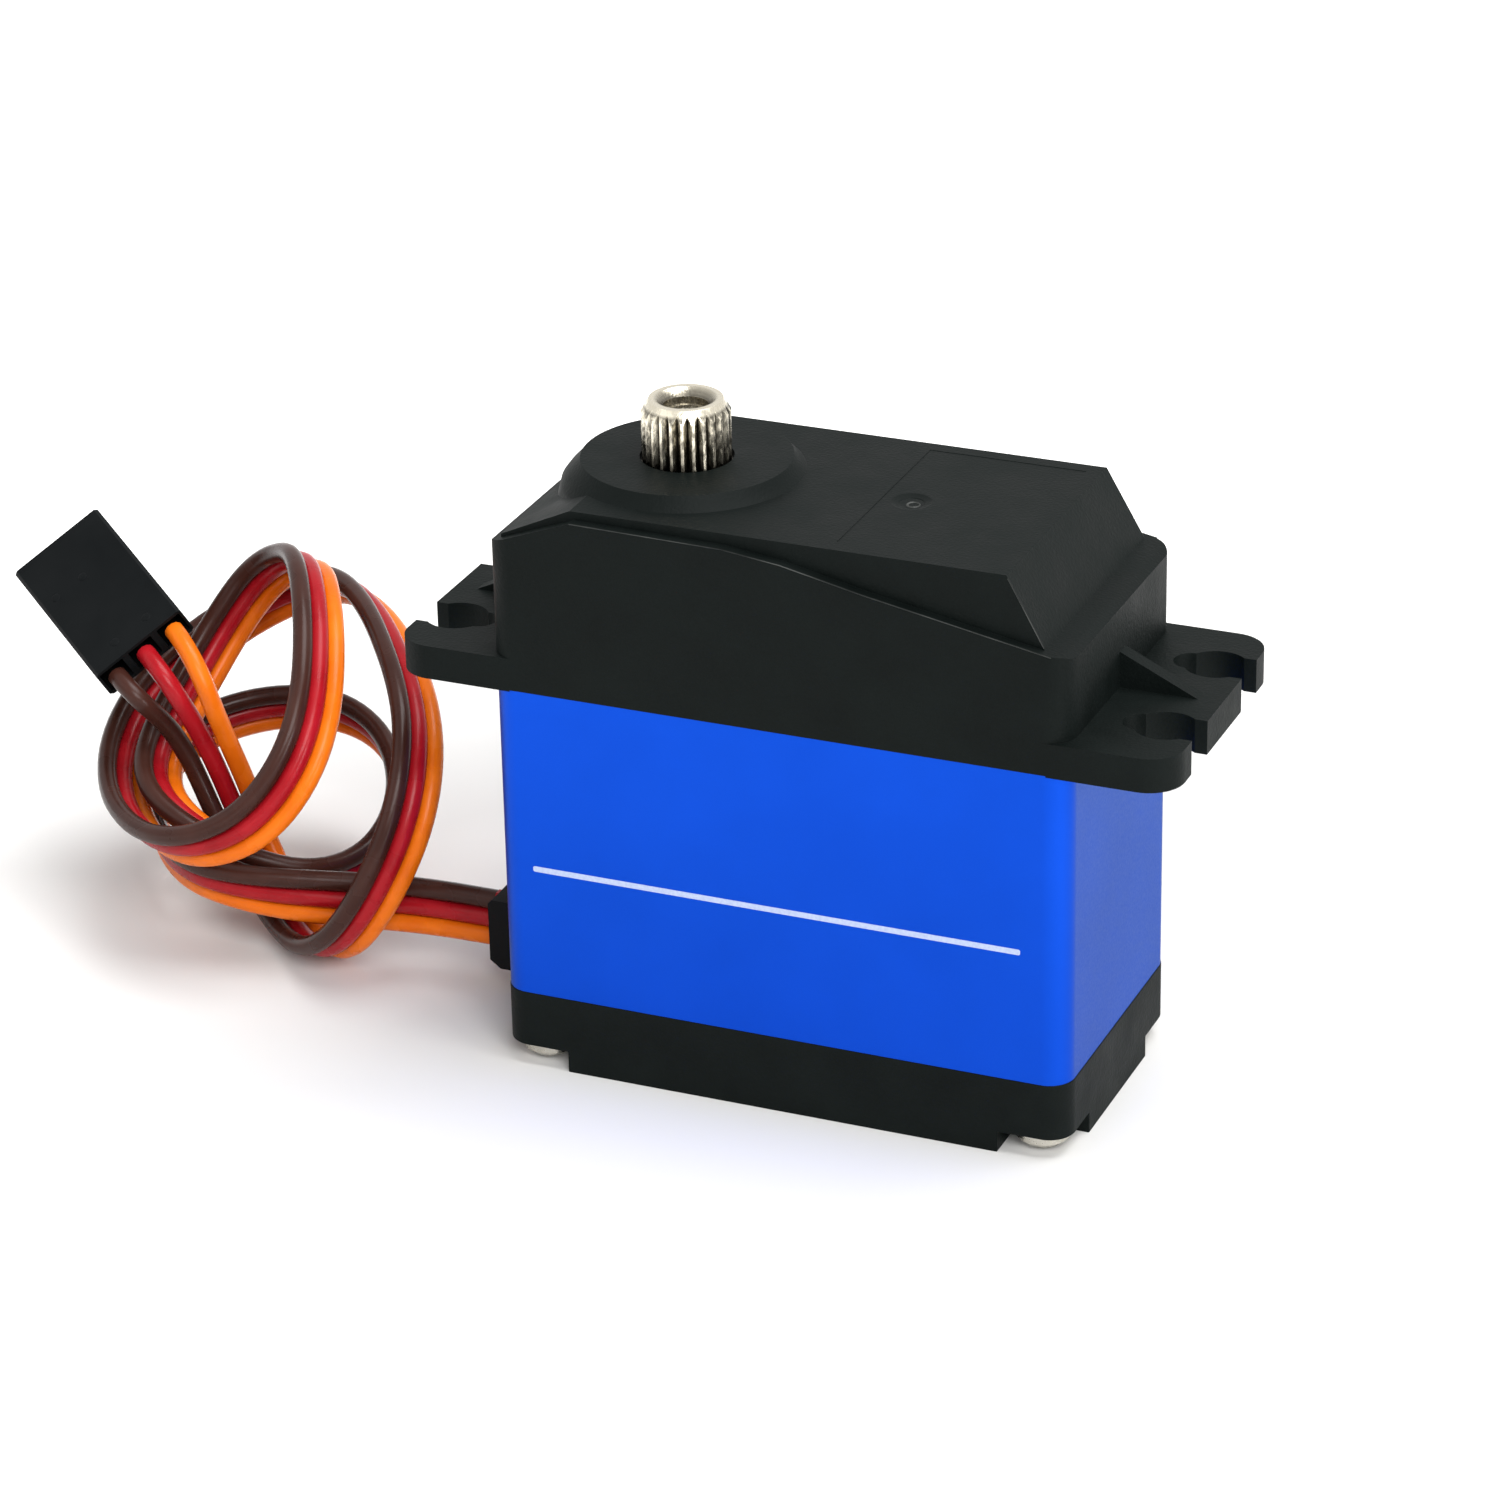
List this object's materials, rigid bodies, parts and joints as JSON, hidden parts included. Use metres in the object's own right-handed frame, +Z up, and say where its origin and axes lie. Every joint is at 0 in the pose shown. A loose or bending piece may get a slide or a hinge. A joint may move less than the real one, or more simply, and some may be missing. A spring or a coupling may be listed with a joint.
{
  "type": "servo motor",
  "caption": "Standard-size metal-gear servo with a blue aluminium centre case, slotted flanges, a splined output shaft and a flat three-wire lead.",
  "frame": {"origin": "under the middle of the case, on the surface it stands on", "axes": "+X along the case away from the output shaft and the lead; +Z up along the output shaft, out of the case"},
  "size_m": [0.0927, 0.0278, 0.0456],
  "materials": {
    "black_plastic": "satin, lightly textured",
    "blue_aluminium": "anodised blue, satin",
    "screw_steel": "bright, plated",
    "spline_steel": "machined",
    "gear_steel": "machined, lightly oiled",
    "bearing_steel": "ground",
    "motor_steel": "zinc plated",
    "lamination_steel": "raw",
    "magnet": "raw",
    "copper": "enamelled wire",
    "brass": "machined",
    "carbon": "matt",
    "grey_nylon": "matt",
    "sensor_plastic": "semi-gloss",
    "board_green": "lacquered",
    "chip_black": "matt",
    "capacitor_yellow": "semi-gloss",
    "boot_rubber": "matt",
    "lead_brown": "smooth, semi-gloss",
    "lead_red": "smooth, semi-gloss",
    "lead_orange": "smooth, semi-gloss",
    "plug_black": "satin"
  },
  "bodies": {
    "case": {"top_case": "black_plastic", "mid_case": "blue_aluminium", "bottom_cover": "black_plastic", "case_screws": "screw_steel", "idler_pin": "bearing_steel", "upper_bearing_outer": "bearing_steel", "lower_bearing_outer": "bearing_steel", "motor_can": "motor_steel", "motor_end_cap": "grey_nylon", "motor_magnets": "magnet", "motor_bushing": "brass", "motor_brushes": "carbon", "motor_terminals": "brass", "motor_screws": "screw_steel", "pot_body": "sensor_plastic", "pot_leads": "screw_steel", "circuit_board": "board_green", "board_chips": "chip_black", "board_capacitor": "capacitor_yellow", "strain_relief": "boot_rubber", "lead_tails": "lead_red", "wire_ground": "lead_brown", "wire_power": "lead_red", "wire_signal": "lead_orange", "plug_housing": "plug_black", "plug_contacts": "brass"},
    "rotor": {"motor_shaft": "bearing_steel", "motor_pinion": "brass", "rotor_core": "lamination_steel", "rotor_windings": "copper", "commutator": "copper"},
    "gear_1": {"gear_1": "gear_steel"},
    "gear_2": {"gear_2": "gear_steel"},
    "gear_3": {"gear_3": "gear_steel"},
    "output": {"output_gear": "spline_steel", "upper_bearing_inner": "bearing_steel", "lower_bearing_inner": "bearing_steel", "pot_shaft": "grey_nylon"},
    "upper_balls": {"upper_bearing_balls": "bearing_steel"},
    "lower_balls": {"lower_bearing_balls": "bearing_steel"}
  },
  "joints": [
    {"name": "motor_spin", "type": "hinge", "parent": "case", "child": "rotor", "pos_m": [0.0084, 0, 0.03], "axis": [0, 0, 1], "range_deg": [-7580, 7580]},
    {"name": "gear_1_spin", "type": "hinge", "parent": "case", "child": "gear_1", "pos_m": [0, 0, 0.03], "axis": [0, 0, 1], "range_deg": [-1995, 1995]},
    {"name": "gear_2_spin", "type": "hinge", "parent": "case", "child": "gear_2", "pos_m": [-0.01, 0, 0.03], "axis": [0, 0, 1], "range_deg": [-630, 630]},
    {"name": "gear_3_spin", "type": "hinge", "parent": "case", "child": "gear_3", "pos_m": [0, 0, 0.03], "axis": [0, 0, 1], "range_deg": [-270, 270]},
    {"name": "output_turn", "type": "hinge", "parent": "case", "child": "output", "pos_m": [-0.01, 0, 0.03], "axis": [0, 0, 1], "range_deg": [-90, 90]},
    {"name": "upper_balls_turn", "type": "hinge", "parent": "case", "child": "upper_balls", "pos_m": [-0.01, 0, 0.03], "axis": [0, 0, 1], "range_deg": [-38.3, 38.3]},
    {"name": "lower_balls_turn", "type": "hinge", "parent": "case", "child": "lower_balls", "pos_m": [-0.01, 0, 0.03], "axis": [0, 0, 1], "range_deg": [-36.1, 36.1]}
  ],
  "couplings": [
    {"joint": "gear_1_spin", "follows": "motor_spin", "ratio": -0.26316},
    {"joint": "gear_2_spin", "follows": "motor_spin", "ratio": 0.083102},
    {"joint": "gear_3_spin", "follows": "motor_spin", "ratio": -0.035615},
    {"joint": "output_turn", "follows": "motor_spin", "ratio": 0.011872},
    {"joint": "upper_balls_turn", "follows": "motor_spin", "ratio": 0.0050455},
    {"joint": "lower_balls_turn", "follows": "motor_spin", "ratio": 0.0047487}
  ]
}
